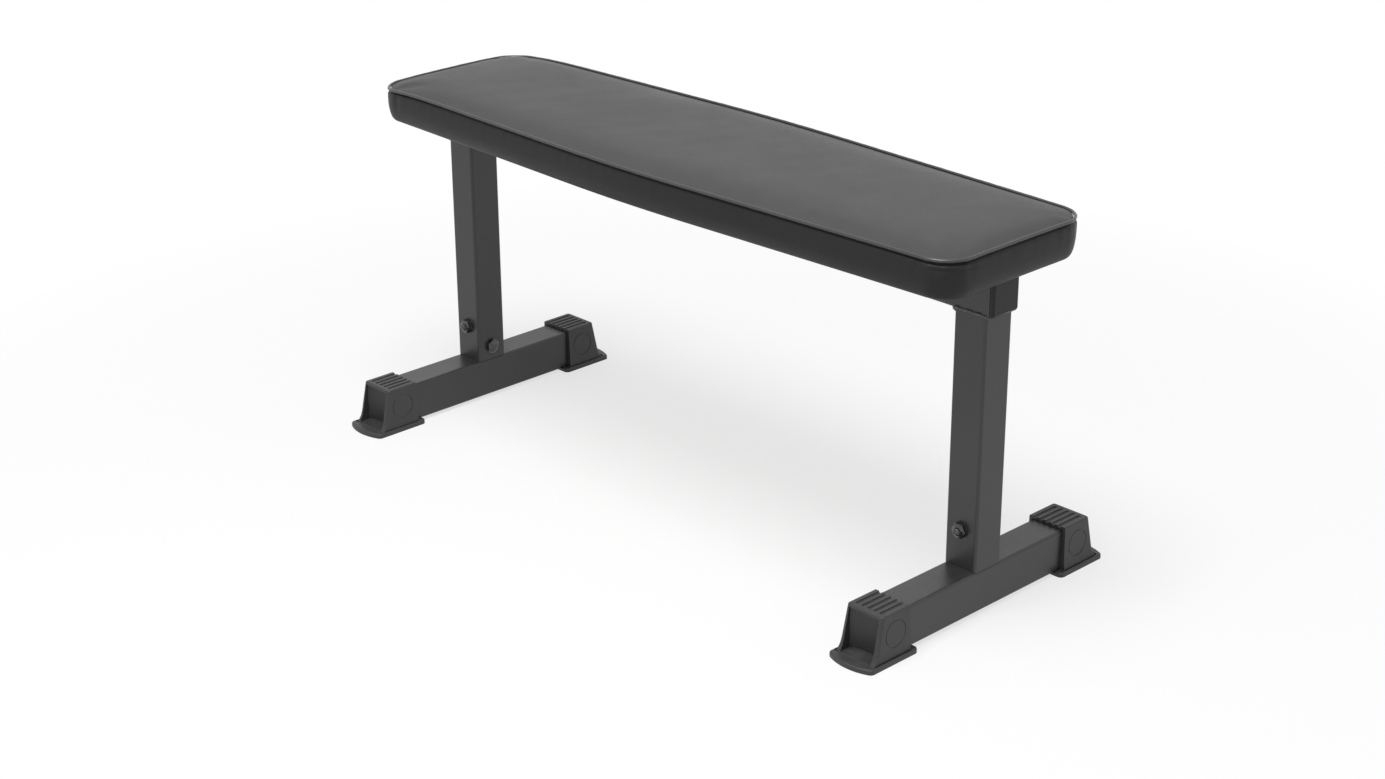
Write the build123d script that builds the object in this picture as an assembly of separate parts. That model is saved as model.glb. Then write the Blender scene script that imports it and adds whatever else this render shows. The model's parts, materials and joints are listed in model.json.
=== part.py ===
from build123d import *
import os
from math import atan, atan2, cos, degrees, radians, sin

# Flat weight bench: a padded top on a welded beam, two uprights and two bolted crossbars with moulded feet.
# Millimetres. +X runs along the bench, +Y across it, +Z up. The origin is on the floor under the middle.

# Frame tubes
TUBE = 45.0
TUBE_WALL = 2.0
TUBE_CORNER = 3.5
UPRIGHT_X = 442.0
BEAM_LENGTH = 936.0
BAR_WIDTH = 45.0
BAR_HEIGHT = 52.0
BAR_LENGTH = 344.0
BAR_Z = 4.0
STUB = 40.0
STUB_HEIGHT = 70.0

# Pad outline and build-up
PAD_LENGTH = 982.0
PAD_WIDTH = 272.0
PAD_TAPER = 0.041
PAD_BOW_RADIUS = 2700.0
PAD_CORNER = 39.0
PAD_CORNER_SHARE = 0.6
PAD_Z = 412.0
COVER_THICKNESS = 1.5
BOARD_THICKNESS = 12.0
HEM_INSET = 40.0
PIPING_RADIUS = 2.0
PIPING_INSET = 0.8
STAPLE = (12.0, 1.0, 0.8)
STAPLE_INSET = 26.0
STAPLE_COUNT = 40

# Pad profile: pairs of inset from the outline and height above the pad's underside
SIDE_PROFILE = ((7.5, 0.0), (3.2, 2.4), (0.9, 7.5), (0.0, 17.0), (0.0, 33.0), (2.0, 44.0))
CROWN_PROFILE = ((2.0, 44.0), (10.0, 46.5), (25.0, 49.0), (50.0, 51.3), (85.0, 52.6))

# Pad brackets and their screws
BRACKET = (40.0, 150.0, 3.0)
BRACKET_X = 300.0
SCREW_Y = 60.0
SCREW_RADIUS = 3.9
SCREW_HEAD = (6.5, 5.0)
SCREW_HEAD_ROUND = 3.5
SCREW_KEY_RADIUS = 2.6
SCREW_WASHER = (8.5, 1.6)
T_NUT_BORE_RADIUS = 4.0
STRAP_HOLE_RADIUS = 4.5
STRAP_CORNER = 6.0
SCREW_WASHER_BORE_RADIUS = 4.3
T_NUT_BARREL_RADIUS = 5.0
T_NUT_FLANGE = (10.0, 1.5)
SCREW_LENGTH = 18.0

# Frame bolts
BOLT_RADIUS = 4.9
BOLT_HOLE_RADIUS = 5.4
NUT_BORE_RADIUS = 5.0
BOLT_END_ROUND = 2.0
HEX_ACROSS_FLATS = 17.0
HEX_DOME_RADIUS = 20.0
HEAD_HEIGHT = 4.4
NUT_HEIGHT = 5.5
WASHER_RADIUS = 10.0
WASHER_THICKNESS = 2.0
BOLT_END = 3.0
THROUGH_BOLT_Z = 104.0
INNER_BOLT_Z = 75.0
WELD_NUT_HEIGHT = 8.0

# Beam end caps
CAP_THICKNESS = 5.4
CAP_BEVEL = (3.2, 2.8)
CAP_JOINT = 0.9
CAP_STEM = 40.6
CAP_STEM_DEPTH = 18.0
CAP_STEM_WALL = 2.5

# Feet, measured outward from the middle of the crossbar
FOOT_MOUTH = 136.0
FOOT_TOP_Z = 60.5
FOOT_CORNER = 4.0
FOOT_TOP_ROUND = 2.2
FLANGE_HALF = 32.5
FLANGE_IN = 126.0
FLANGE_OUT = 203.0
FLANGE_BOW = 8.0
FLANGE_HEIGHT = 6.0
FLANGE_CORNER = 6.0
FLANGE_ROUND = 2.0
GUTTER_WIDTH = 1.4
GUTTER_DEPTH = 1.6
SOCKET_PLAY = 0.25
RECESS_HALF = 22.5
RECESS_SIDE_OUT = 180.0
RECESS_MID_OUT = 175.0
RECESS_LIP = 3.5
GROOVE_COUNT = 5
GROOVE_PITCH = 8.8
GROOVE_RADIUS = 2.4
GROOVE_LIFT = 0.0
GROOVE_OUT = 173.5
ROUNDEL_RADIUS = 16.5
ROUNDEL_LINE = 1.0
ROUNDEL_DEPTH = 0.6
ROUNDEL_Y = 160.0
ROUNDEL_Z = 34.0

# Foot levels from the flange up: height, reach of the outer end, half width
FOOT_FLARE = ((FLANGE_HEIGHT - GUTTER_DEPTH, 197.0, 29.2), (9.0, 193.8, 28.8), (13.0, 191.6, 28.4))
FOOT_WAIST = (20.0, 189.5, 28.0)
FOOT_TOP = (FOOT_TOP_Z, 181.5, 26.5)

# Weld beads
FILLET_LEG = 7.0
BEAD_PROUD = 0.9
BRACKET_LEG = 4.0

# Levels worked out from the sizes above
BAR_TOP = BAR_Z + BAR_HEIGHT
BOARD_Z = PAD_Z + COVER_THICKNESS
BEAM_TOP = BOARD_Z - BRACKET[2]
BEAM_Z = BEAM_TOP - TUBE
SEAM_Z = PAD_Z + SIDE_PROFILE[-1][1]
BOARD_TOP = BOARD_Z + BOARD_THICKNESS
HALF_TUBE = TUBE / 2
CUT_LENGTH = 1000.0
ENDS = {"near": 1, "far": -1}
SIDES = {"front": -1, "rear": 1}


def save(name, shape):
    export_step(shape, f"parts/{name}.step")


def tube_section(width, height):
    inner_corner = TUBE_CORNER - TUBE_WALL
    hollow = RectangleRounded(width - 2 * TUBE_WALL, height - 2 * TUBE_WALL, inner_corner)
    return RectangleRounded(width, height, TUBE_CORNER) - hollow


def along_x(shape):
    return Rot(0, 90, 0) * shape


def along_y(shape):
    return Rot(90, 0, 0) * shape


def group(solids):
    return Compound(children=[piece for shape in solids for piece in shape.solids()])


# Frame


def top_beam():
    section = Plane.YZ * tube_section(TUBE, TUBE)
    return Pos(0, 0, BEAM_Z + HALF_TUBE) * extrude(section, BEAM_LENGTH / 2, both=True)


def upright(end):
    section = tube_section(TUBE, TUBE)
    post = Pos(end * UPRIGHT_X, 0, BAR_TOP) * extrude(section, BEAM_Z - BAR_TOP)
    return post - bolt_holes(end)


def stub(end):
    section = tube_section(STUB, STUB)
    post = Pos(end * UPRIGHT_X, 0, BAR_TOP) * extrude(section, STUB_HEIGHT)
    return post - bolt_holes(end)


def bolt_holes(end):
    """Holes for the through-bolt along Y and for the bolt in the inner face."""
    through = along_y(Cylinder(BOLT_HOLE_RADIUS, CUT_LENGTH))
    inner = along_x(Cylinder(BOLT_HOLE_RADIUS, HALF_TUBE))
    inner_x = end * (UPRIGHT_X - HALF_TUBE)
    return Pos(end * UPRIGHT_X, 0, THROUGH_BOLT_Z) * through + Pos(inner_x, 0, INNER_BOLT_Z) * inner


def crossbar(end):
    section = Plane.XZ * tube_section(BAR_WIDTH, BAR_HEIGHT)
    return Pos(end * UPRIGHT_X, 0, BAR_Z + BAR_HEIGHT / 2) * extrude(section, BAR_LENGTH / 2, both=True)


def beam_cap(end):
    """A plug with a bevelled square face and a V joint behind it, pushed into the open end of the beam."""

    def level(height, inset, corner):
        return Pos(0, 0, height) * RectangleRounded(TUBE - 2 * inset, TUBE - 2 * inset, corner)

    plate = loft([
        level(0, CAP_JOINT, TUBE_CORNER - CAP_JOINT),
        level(CAP_JOINT, 0, TUBE_CORNER),
        level(CAP_THICKNESS - CAP_BEVEL[1], 0, TUBE_CORNER),
        level(CAP_THICKNESS, CAP_BEVEL[0], TUBE_CORNER - TUBE_WALL),
    ], ruled=True)
    hollow = CAP_STEM - 2 * CAP_STEM_WALL
    stem = RectangleRounded(CAP_STEM, CAP_STEM, TUBE_CORNER - TUBE_WALL) - Rectangle(hollow, hollow)
    plug = plate + extrude(stem, -CAP_STEM_DEPTH)
    facing = Rot(0, 90, 0) if end > 0 else Rot(0, -90, 0)
    return Pos(end * BEAM_LENGTH / 2, 0, BEAM_Z + HALF_TUBE) * facing * plug


def beam_edge():
    """The beam's rounded edge seen along X, from its side down to its flat, as a weld meets it."""
    flat = HALF_TUBE - TUBE_CORNER
    middle = (flat + TUBE_CORNER * sin(radians(45)), TUBE_CORNER * (1 - cos(radians(45))))
    return ThreePointArc((HALF_TUBE, TUBE_CORNER), middle, (flat, 0))


def corner_fill(leg):
    """Weld section between a wide flat and the rounded edge of the beam."""
    toe_y = HALF_TUBE + leg
    toe_z = TUBE_CORNER + leg
    swell = (HALF_TUBE + leg / 2 + BEAD_PROUD, toe_z / 2)
    return make_face([
        Line((HALF_TUBE - TUBE_CORNER, 0), (toe_y, 0)),
        ThreePointArc((toe_y, 0), swell, (HALF_TUBE, toe_z)),
        Line((HALF_TUBE, toe_z), (HALF_TUBE, TUBE_CORNER)),
        beam_edge(),
    ])


def flush_fill():
    """Weld section where an upright's side is flush with the beam's side."""
    swell = (HALF_TUBE + BEAD_PROUD, TUBE_CORNER / 2)
    return make_face([
        Line((HALF_TUBE - TUBE_CORNER, 0), (HALF_TUBE, 0)),
        ThreePointArc((HALF_TUBE, 0), swell, (HALF_TUBE, TUBE_CORNER)),
        beam_edge(),
    ])


def upright_welds(end):
    """Two flush beads on the upright's sides and a fillet on its inner and outer faces."""
    run = TUBE - 2 * TUBE_CORNER
    centre = Pos(end * UPRIGHT_X, 0, BEAM_Z)
    side_bead = extrude(Plane.YZ * flush_fill(), run / 2, both=True)
    overhang = BEAM_LENGTH / 2 - UPRIGHT_X - HALF_TUBE
    beads = [centre * side_bead, centre * Rot(0, 0, 180) * side_bead]
    for face, leg in ((-end, FILLET_LEG), (end, overhang)):
        corner = [(HALF_TUBE, 0), (HALF_TUBE + leg, 0), (HALF_TUBE, -leg)]
        fillet_bead = extrude(Plane.XZ * make_face(Polyline(*corner, close=True)), run / 2, both=True)
        beads.append(centre * (Rot(0, 0, 0) if face > 0 else Rot(0, 0, 180)) * fillet_bead)
    return group(beads)


# Feet


def foot_flange():
    outline = make_face([
        Line((-FLANGE_HALF, FLANGE_OUT), (-FLANGE_HALF, FLANGE_IN)),
        Line((-FLANGE_HALF, FLANGE_IN), (FLANGE_HALF, FLANGE_IN)),
        Line((FLANGE_HALF, FLANGE_IN), (FLANGE_HALF, FLANGE_OUT)),
        ThreePointArc((FLANGE_HALF, FLANGE_OUT), (0, FLANGE_OUT + FLANGE_BOW), (-FLANGE_HALF, FLANGE_OUT)),
    ])
    plate = extrude(fillet(outline.vertices(), FLANGE_CORNER), FLANGE_HEIGHT)
    plate = fillet(plate.faces().sort_by(Axis.Z)[-1].outer_wire().edges(), FLANGE_ROUND)
    height, out, half = FOOT_FLARE[0]
    gutter = extrude(foot_level(height, out + GUTTER_WIDTH, half + GUTTER_WIDTH), GUTTER_DEPTH)
    return plate - split(gutter, Plane.XZ.offset(-FOOT_MOUTH), keep=Keep.BOTTOM)


def foot_level(height, out, half):
    """Outline of the sleeve at a height. It starts inside the mouth, where it is cut off square later."""
    start = FOOT_MOUTH - 2 * FOOT_CORNER
    return Pos(0, (out + start) / 2, height) * RectangleRounded(2 * half, out - start, FOOT_CORNER)


def foot_block():
    """The sleeve: a steep block that flares into a gutter in the flange, cut off square at its mouth."""
    block = loft([foot_level(*sizes) for sizes in (*FOOT_FLARE, FOOT_WAIST, FOOT_TOP)], ruled=True)
    block = fillet(block.faces().sort_by(Axis.Z)[-1].outer_wire().edges(), FOOT_TOP_ROUND)
    return split(block, Plane.XZ.offset(-FOOT_MOUTH), keep=Keep.BOTTOM)


def foot_recess():
    """The hollow in the outer end, curved in plan, below a lip at the top."""
    far_out = FLANGE_OUT + FLANGE_BOW
    plan = make_face([
        ThreePointArc((-RECESS_HALF, RECESS_SIDE_OUT), (0, RECESS_MID_OUT), (RECESS_HALF, RECESS_SIDE_OUT)),
        Line((RECESS_HALF, RECESS_SIDE_OUT), (RECESS_HALF, far_out)),
        Line((RECESS_HALF, far_out), (-RECESS_HALF, far_out)),
        Line((-RECESS_HALF, far_out), (-RECESS_HALF, RECESS_SIDE_OUT)),
    ])
    return Pos(0, 0, FLANGE_HEIGHT) * extrude(plan, FOOT_TOP_Z - RECESS_LIP - FLANGE_HEIGHT)


def foot_groove(x):
    """A round-bottomed groove in the top, open at the mouth and closed before the outer edge."""
    run = Cylinder(GROOVE_RADIUS, GROOVE_OUT - FOOT_MOUTH, align=(Align.CENTER, Align.CENTER, Align.MIN))
    level = FOOT_TOP_Z + GROOVE_LIFT
    closed_end = Pos(x, GROOVE_OUT, level) * Sphere(GROOVE_RADIUS)
    return Pos(x, FOOT_MOUTH, level) * Rot(-90, 0, 0) * run + closed_end


def foot_roundel(side):
    """A plain ring line pressed into the sloping side."""
    rise = FOOT_TOP[0] - FOOT_WAIST[0]
    spread = FOOT_WAIST[2] - FOOT_TOP[2]
    slope = atan(spread / rise)
    face_x = FOOT_TOP[2] + spread * (FOOT_TOP[0] - ROUNDEL_Z) / rise
    normal = (side * cos(slope), 0, sin(slope))
    face = Plane((side * face_x, ROUNDEL_Y, ROUNDEL_Z), x_dir=(0, 1, 0), z_dir=normal)
    ring = Circle(ROUNDEL_RADIUS) - Circle(ROUNDEL_RADIUS - ROUNDEL_LINE)
    return extrude(face * ring, ROUNDEL_DEPTH, both=True)


def foot(end, side):
    socket_size = (BAR_WIDTH + 2 * SOCKET_PLAY, BAR_LENGTH / 2, BAR_HEIGHT + 2 * SOCKET_PLAY)
    socket = Pos(0, 0, BAR_Z - SOCKET_PLAY) * Box(*socket_size, align=(Align.CENTER, Align.MIN, Align.MIN))
    cap = foot_flange() + foot_block() - socket - foot_recess() - foot_roundel(1) - foot_roundel(-1)
    for index in range(GROOVE_COUNT):
        cap -= foot_groove((index - (GROOVE_COUNT - 1) / 2) * GROOVE_PITCH)
    turn = Rot(0, 0, 0) if side > 0 else Rot(0, 0, 180)
    return Pos(end * UPRIGHT_X, 0, 0) * turn * cap


# Frame bolts


def hexagon(height):
    return extrude(RegularPolygon(HEX_ACROSS_FLATS / 2, 6, major_radius=False), height)


def hex_head(height):
    """A low hexagon with a domed outer face."""
    return hexagon(height) & Pos(0, 0, height - HEX_DOME_RADIUS) * Sphere(HEX_DOME_RADIUS)


def through_bolt(end):
    """Along Y: head at the rear, nut and bolt end at the front."""
    reach = HALF_TUBE + WASHER_THICKNESS
    shank_length = 2 * reach + NUT_HEIGHT + BOLT_END
    shank = Cylinder(BOLT_RADIUS, shank_length, align=(Align.CENTER, Align.CENTER, Align.MAX))
    bolt = hex_head(HEAD_HEIGHT) + fillet(shank.edges().sort_by(Axis.Z)[0], BOLT_END_ROUND)
    return Pos(end * UPRIGHT_X, reach, THROUGH_BOLT_Z) * Rot(-90, 0, 0) * bolt


def inner_bolt(end):
    """Along X: head on the inner face, screwed into the nut welded inside the stub."""
    wall_gap = HALF_TUBE - STUB / 2 + TUBE_WALL
    shank_length = WASHER_THICKNESS + wall_gap + WELD_NUT_HEIGHT + BOLT_END
    shank = Cylinder(BOLT_RADIUS, shank_length, align=(Align.CENTER, Align.CENTER, Align.MAX))
    bolt = hex_head(HEAD_HEIGHT) + fillet(shank.edges().sort_by(Axis.Z)[0], BOLT_END_ROUND)
    x = end * (UPRIGHT_X - HALF_TUBE - WASHER_THICKNESS)
    return Pos(x, 0, INNER_BOLT_Z) * Rot(0, -90 * end, 0) * bolt


def washers(end):
    ring = Cylinder(WASHER_RADIUS, WASHER_THICKNESS) - Cylinder(BOLT_HOLE_RADIUS, WASHER_THICKNESS)
    reach = HALF_TUBE + WASHER_THICKNESS / 2
    rings = [Pos(end * (UPRIGHT_X - reach), 0, INNER_BOLT_Z) * along_x(ring)]
    for side in SIDES.values():
        rings.append(Pos(end * UPRIGHT_X, side * reach, THROUGH_BOLT_Z) * along_y(ring))
    return group(rings)


def through_nut(end):
    nut = hex_head(NUT_HEIGHT) - Cylinder(NUT_BORE_RADIUS, CUT_LENGTH)
    return Pos(end * UPRIGHT_X, -HALF_TUBE - WASHER_THICKNESS, THROUGH_BOLT_Z) * Rot(90, 0, 0) * nut


def weld_nut(end):
    nut = hexagon(WELD_NUT_HEIGHT) - Cylinder(NUT_BORE_RADIUS, CUT_LENGTH)
    x = end * (UPRIGHT_X - STUB / 2 + TUBE_WALL)
    return Pos(x, 0, INNER_BOLT_Z) * Rot(0, 90 * end, 0) * nut


# Pad


def pad_wire(inset, height):
    """Closed outline of the pad, drawn in by the inset: bowed sides that taper to straight ends."""
    half_length = PAD_LENGTH / 2 - inset
    half_width = PAD_WIDTH / 2 - inset
    bow = PAD_BOW_RADIUS - inset
    angle = atan(PAD_TAPER)
    bow_x = bow * sin(angle)
    bow_y = half_width - bow * (1 - cos(angle))
    end_width = bow_y - PAD_TAPER * (half_length - bow_x)
    corner = min(PAD_CORNER, PAD_CORNER_SHARE * end_width)
    centre_x = half_length - corner
    centre_y = bow_y - (corner + sin(angle) * (centre_x - bow_x)) / cos(angle)
    half_turn = (radians(90) - angle) / 2
    side = (centre_x + corner * sin(angle), centre_y + corner * cos(angle))
    middle = (centre_x + corner * cos(half_turn), centre_y + corner * sin(half_turn))
    z = PAD_Z + height

    def at(point, sx, sy):
        return (sx * point[0], sy * point[1], z)

    end_point = (half_length, centre_y)
    bow_point = (bow_x, bow_y)
    top = (0, half_width)
    edges = []
    for sign in (1, -1):
        edges += [
            Line(at(end_point, sign, -sign), at(end_point, sign, sign)),
            ThreePointArc(at(end_point, sign, sign), at(middle, sign, sign), at(side, sign, sign)),
            Line(at(side, sign, sign), at(bow_point, sign, sign)),
            ThreePointArc(at(bow_point, sign, sign), at(top, sign, sign), at(bow_point, -sign, sign)),
            Line(at(bow_point, -sign, sign), at(side, -sign, sign)),
            ThreePointArc(at(side, -sign, sign), at(middle, -sign, sign), at(end_point, -sign, sign)),
        ]
    return Wire(edges)


def pad_loft(profile):
    return loft([Face(pad_wire(inset, height)) for inset, height in profile])


def inner_profiles():
    """The inside of the cover: the side drawn in and the crown lowered by the cover's thickness."""
    seam = SIDE_PROFILE[-1][1]
    squeeze = 1 - COVER_THICKNESS / seam
    side = [(inset + COVER_THICKNESS, COVER_THICKNESS + height * squeeze) for inset, height in SIDE_PROFILE]
    crown = [(inset + COVER_THICKNESS, height - COVER_THICKNESS) for inset, height in CROWN_PROFILE]
    crown[0] = side[-1]
    return side, crown


def piping():
    path = pad_wire(PIPING_INSET, SEAM_Z - PAD_Z)
    section = Plane(origin=path @ 0, z_dir=path % 0) * Circle(PIPING_RADIUS)
    return sweep(section, path)


def hem_opening():
    return extrude(Face(pad_wire(HEM_INSET, 0)), COVER_THICKNESS)


def screw_places():
    return [(x, y) for x in (BRACKET_X, -BRACKET_X) for y in (SCREW_Y, -SCREW_Y)]


def t_nuts():
    barrel = Pos(0, 0, BOARD_TOP - BOARD_THICKNESS) * Cylinder(
        T_NUT_BARREL_RADIUS, BOARD_THICKNESS, align=(Align.CENTER, Align.CENTER, Align.MIN))
    flange = Pos(0, 0, BOARD_TOP) * Cylinder(*T_NUT_FLANGE, align=(Align.CENTER, Align.CENTER, Align.MIN))
    return [Pos(x, y, 0) * (barrel + flange) for x, y in screw_places()]


def pad_pieces():
    side_inner, crown_inner = inner_profiles()
    inside = pad_loft(side_inner)
    cord = piping()
    blanks = t_nuts()
    board = split(inside, Plane.XY.offset(BOARD_TOP), keep=Keep.BOTTOM)
    foam = split(inside, Plane.XY.offset(BOARD_TOP), keep=Keep.TOP) + pad_loft(crown_inner)
    for blank in blanks:
        board -= blank
        foam -= blank
    side = pad_loft(SIDE_PROFILE) - inside - hem_opening() - cord
    top = pad_loft(CROWN_PROFILE) - pad_loft(crown_inner) - cord
    bore = Cylinder(T_NUT_BORE_RADIUS, CUT_LENGTH, align=(Align.CENTER, Align.CENTER, Align.MIN))
    nuts = [blank - Pos(x, y, 0) * bore for blank, (x, y) in zip(blanks, screw_places())]
    return {
        "pad_board": board,
        "pad_foam": foam,
        "cover_side": side,
        "cover_top": top,
        "cover_piping": cord,
        "t_nuts": group(nuts),
    }


def staples():
    path = pad_wire(STAPLE_INSET, -STAPLE[2] / 2)
    crowns = []
    for index in range(STAPLE_COUNT):
        place = path @ (index / STAPLE_COUNT)
        along = path % (index / STAPLE_COUNT)
        turn = Rot(0, 0, degrees(atan2(along.Y, along.X)))
        crowns.append(Pos(place.X, place.Y, place.Z) * turn * Box(*STAPLE))
    return group(crowns)


def pad_bracket(end):
    strap = Box(*BRACKET, align=(Align.CENTER, Align.CENTER, Align.MIN))
    strap = fillet(strap.edges().filter_by(Axis.Z), STRAP_CORNER)
    for y in (SCREW_Y, -SCREW_Y):
        strap -= Pos(0, y, 0) * Cylinder(STRAP_HOLE_RADIUS, CUT_LENGTH)
    return Pos(end * BRACKET_X, 0, BEAM_TOP) * strap


def bracket_welds(end):
    """Beads under the strap, along both upper edges of the beam."""
    bead = extrude(Plane.YZ * corner_fill(BRACKET_LEG), BRACKET[0] / 2 - TUBE_CORNER, both=True)
    under = Pos(end * BRACKET_X, 0, BEAM_TOP) * Rot(180, 0, 0)
    return group([under * bead, under * Rot(0, 0, 180) * bead])


def pad_screws():
    """Button-head screws up through the straps into the T-nuts."""
    head = Cylinder(*SCREW_HEAD, align=(Align.CENTER, Align.CENTER, Align.MAX))
    head = fillet(head.edges().sort_by(Axis.Z)[0], SCREW_HEAD_ROUND)
    head -= Pos(0, 0, -SCREW_HEAD[1]) * extrude(RegularPolygon(SCREW_KEY_RADIUS, 6), SCREW_HEAD[1] / 2)
    screw = head + Cylinder(SCREW_RADIUS, SCREW_LENGTH, align=(Align.CENTER, Align.CENTER, Align.MIN))
    return group([Pos(x, y, BEAM_TOP - SCREW_WASHER[1]) * screw for x, y in screw_places()])


def pad_washers():
    ring = Cylinder(*SCREW_WASHER, align=(Align.CENTER, Align.CENTER, Align.MAX))
    ring -= Cylinder(SCREW_WASHER_BORE_RADIUS, CUT_LENGTH)
    return group([Pos(x, y, BEAM_TOP) * ring for x, y in screw_places()])


def main():
    os.makedirs("parts", exist_ok=True)
    save("top_beam", top_beam())
    for end_name, end in ENDS.items():
        save(f"upright_{end_name}", upright(end))
        save(f"bar_stub_{end_name}", stub(end))
        save(f"crossbar_{end_name}", crossbar(end))
        save(f"beam_cap_{end_name}", beam_cap(end))
        save(f"upright_welds_{end_name}", upright_welds(end))
        save(f"through_bolt_{end_name}", through_bolt(end))
        save(f"through_nut_{end_name}", through_nut(end))
        save(f"inner_bolt_{end_name}", inner_bolt(end))
        save(f"weld_nut_{end_name}", weld_nut(end))
        save(f"bolt_washers_{end_name}", washers(end))
        save(f"pad_bracket_{end_name}", pad_bracket(end))
        save(f"bracket_welds_{end_name}", bracket_welds(end))
        for side_name, side in SIDES.items():
            save(f"foot_{end_name}_{side_name}", foot(end, side))
    for name, shape in pad_pieces().items():
        save(name, shape)
    save("cover_staples", staples())
    save("pad_screws", pad_screws())
    save("pad_washers", pad_washers())


main()
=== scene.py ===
# %% [markdown]
# # A flat weight bench
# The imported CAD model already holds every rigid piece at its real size, so this lesson doesn't model the
# frame again. It loads those solids, gives each of them its finish, and makes the one soft piece, the
# pad, as real upholstery: a cover sewn from a top panel and a side band, with a cord in the seam, pulled
# over foam and a board.

# %% Load the frame
import json
import math

import bmesh
import bpy
import numpy as np
from mathutils import Matrix, Vector


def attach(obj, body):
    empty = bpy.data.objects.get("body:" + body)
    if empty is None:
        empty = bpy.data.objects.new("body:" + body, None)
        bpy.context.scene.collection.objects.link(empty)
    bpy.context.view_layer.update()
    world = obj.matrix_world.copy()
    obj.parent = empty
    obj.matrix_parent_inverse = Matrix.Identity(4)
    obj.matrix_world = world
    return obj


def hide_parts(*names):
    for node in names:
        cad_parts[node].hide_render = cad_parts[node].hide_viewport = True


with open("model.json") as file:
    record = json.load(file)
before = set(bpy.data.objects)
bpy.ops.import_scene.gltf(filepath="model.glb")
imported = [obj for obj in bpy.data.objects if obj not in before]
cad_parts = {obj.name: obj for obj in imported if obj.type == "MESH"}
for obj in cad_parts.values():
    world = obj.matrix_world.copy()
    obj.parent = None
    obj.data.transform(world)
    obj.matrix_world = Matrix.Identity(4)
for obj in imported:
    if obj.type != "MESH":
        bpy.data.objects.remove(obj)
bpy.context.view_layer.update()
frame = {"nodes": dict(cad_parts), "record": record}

# %% [markdown]
# ## The camera
# The viewing angle was worked out beforehand from the straight edges of the square tubes. A camera can be
# aimed with an empty and a Track To constraint, but three angles and a place are exact, so its matrix is
# written directly.

# %% Camera
IMAGE_WIDTH = 1385
FOCAL_PIXELS = 2400.1
CAMERA_PLACE = (1.9943, -1.9185, 1.3044)
YAW, PITCH, ROLL = (math.radians(a) for a in (46.387, 22.899, 0.314))


def camera_matrix():
    forward = Vector((-math.sin(YAW) * math.cos(PITCH), math.cos(YAW) * math.cos(PITCH), -math.sin(PITCH)))
    right = Vector((math.cos(YAW), math.sin(YAW), 0))
    down = forward.cross(right)
    across = math.cos(ROLL) * right + math.sin(ROLL) * down
    below = math.cos(ROLL) * down - math.sin(ROLL) * right
    turn = Matrix((across, -below, -forward)).transposed().to_4x4()
    return Matrix.Translation(CAMERA_PLACE) @ turn


camera = bpy.data.objects.new("camera", bpy.data.cameras.new("camera"))
bpy.context.scene.collection.objects.link(camera)
camera.matrix_world = camera_matrix()
camera.data.sensor_width = 36.0
camera.data.lens = FOCAL_PIXELS / IMAGE_WIDTH * camera.data.sensor_width
bpy.context.scene.camera = camera
bpy.context.scene.view_settings.view_transform = "Standard"
print("lens", round(camera.data.lens, 2), "mm")

# %% [markdown]
# ## Small helpers for meshes and nodes
# Every piece below needs the same few lines: put points and faces into an object, add a node, join two
# sockets. Keeping them in helpers leaves the later cells free to say what is particular to a piece or a
# finish.


# %% Helpers
def mesh_object(name, points, faces):
    mesh = bpy.data.meshes.new(name)
    mesh.from_pydata([tuple(p) for p in points], [], faces)
    mesh.update()
    made = bpy.data.objects.new(name, mesh)
    bpy.context.scene.collection.objects.link(made)
    return made


def node(tree, kind, inputs=None, **options):
    """Adds a node, sets its options, and fills its inputs with values or links."""
    made = tree.nodes.new(kind)
    for option, value in options.items():
        setattr(made, option, value)
    for socket, value in (inputs or {}).items():
        if isinstance(value, bpy.types.NodeSocket):
            tree.links.new(value, made.inputs[socket])
        else:
            made.inputs[socket].default_value = value
    return made


def closed_tube(name, centre, across, radius, sides):
    """A closed tube round a loop of points, each with a level outward direction and a radius."""
    count = len(centre)
    points = [centre + radius[:, None] * (math.cos(turn) * across + math.sin(turn) * np.array([0, 0, 1]))
              for turn in np.arange(sides) / sides * 2 * math.pi]
    faces = [(i * count + j, i * count + (j + 1) % count,
              (i + 1) % sides * count + (j + 1) % count, (i + 1) % sides * count + j)
             for i in range(sides) for j in range(count)]
    tube = mesh_object(name, np.concatenate(points), faces)
    tube.data.shade_smooth()
    return tube


def maths(tree, operation, first, second):
    return node(tree, "ShaderNodeMath", {0: first, 1: second}, operation=operation).outputs[0]


def spread(tree, value, low, high, start=0.0, end=1.0):
    """Maps a value that runs from low to high onto start to end."""
    inputs = {"Value": value, "From Min": low, "From Max": high, "To Min": start, "To Max": end}
    return node(tree, "ShaderNodeMapRange", inputs).outputs[0]


def new_group(name, inputs, outputs):
    """A shader node group with named sockets. Returns its tree and its input and output nodes."""
    tree = bpy.data.node_groups.new(name, "ShaderNodeTree")
    for socket, value in inputs.items():
        tree.interface.new_socket(socket, in_out="INPUT", socket_type="NodeSocketFloat").default_value = value
    for socket in outputs:
        tree.interface.new_socket(socket, in_out="OUTPUT", socket_type="NodeSocketFloat")
    return tree, tree.nodes.new("NodeGroupInput"), tree.nodes.new("NodeGroupOutput")


def place(tree, group, **values):
    made = tree.nodes.new("ShaderNodeGroup")
    made.node_tree = group
    for socket, value in values.items():
        made.inputs[socket].default_value = value
    return made


print("helpers ready")

# %% [markdown]
# ## Floor, light and background
# The bench stands in an even white studio. A wide lamp straight above would light the top and lose the
# edges. Here a smaller soft box hangs in front of the bench and to one side, so that the shadow falls
# behind it and every rounded edge gets a line of light. A second lamp fills from the front, and the world
# is white wherever the eye or a reflection meets it, so the satin black faces pick up a broad pale sheen.

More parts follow.
